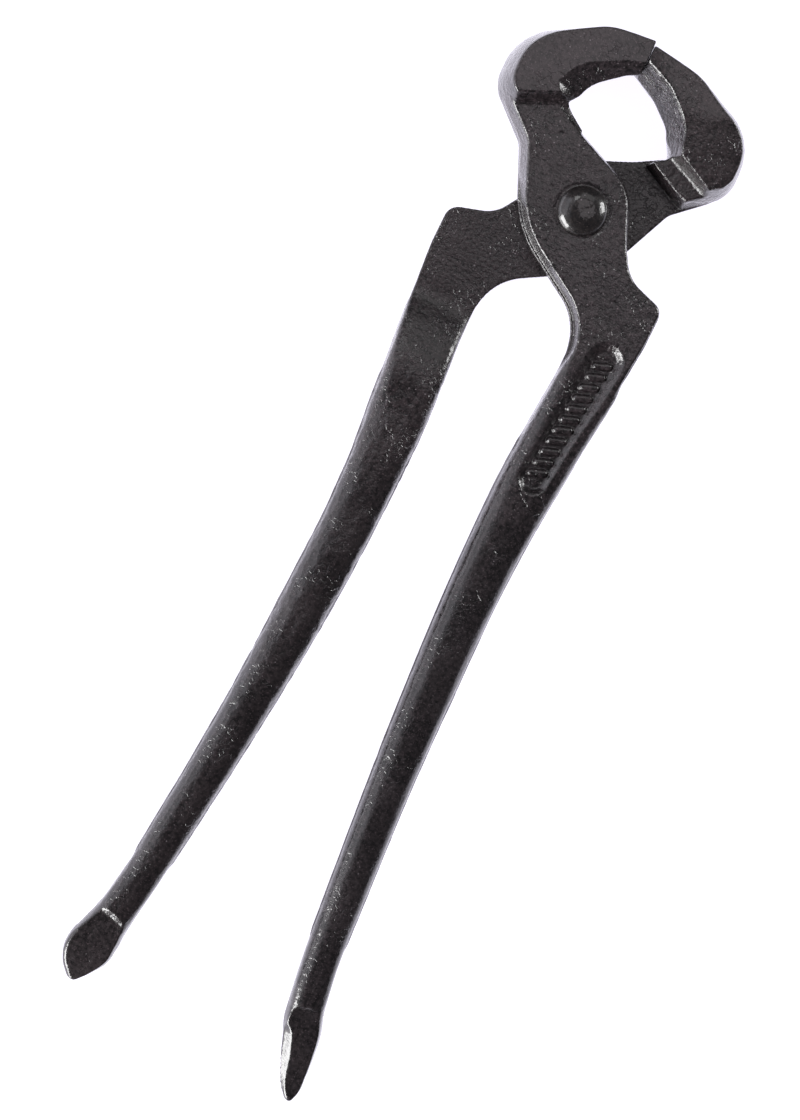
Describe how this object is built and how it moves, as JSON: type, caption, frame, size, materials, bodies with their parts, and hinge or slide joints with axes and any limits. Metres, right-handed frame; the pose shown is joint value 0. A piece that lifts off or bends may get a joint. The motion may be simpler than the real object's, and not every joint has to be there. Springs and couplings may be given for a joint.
{
  "type": "lap-joint pincers",
  "caption": "Forged end-cutting pincers: lapped arms crossing at a domed rivet, curved jaws round an open mouth, long bowed handles ending in a chisel and a spear.",
  "frame": {"origin": "middle of the box that the closed tool fills, on the surface that it lies on: the rear ground faces of the jaws are at z = 0", "axes": "+Y from the handles to the jaws, +Z along the rivet from its peened tail to its domed head, +X to the side of the front arm's handle"},
  "size_m": [0.0625, 0.2492, 0.024],
  "materials": {
    "front_arm_lacquer": "gloss black lacquer over rough forging, ground faces smoother",
    "rear_arm_lacquer": "gloss black lacquer over rougher forging, ground faces smoother",
    "rivet_steel": "lacquered peened steel, dimpled and worn brighter on the dome"
  },
  "bodies": {
    "front": {"front_arm": "front_arm_lacquer", "pivot_rivet": "rivet_steel"},
    "rear": {"rear_arm": "rear_arm_lacquer"}
  },
  "joints": [
    {"name": "jaw_pivot", "type": "hinge", "parent": "front", "child": "rear", "pos_m": [0, 0.0837, 0.012], "axis": [0, 0, -1], "range_deg": [0, 48]}
  ]
}
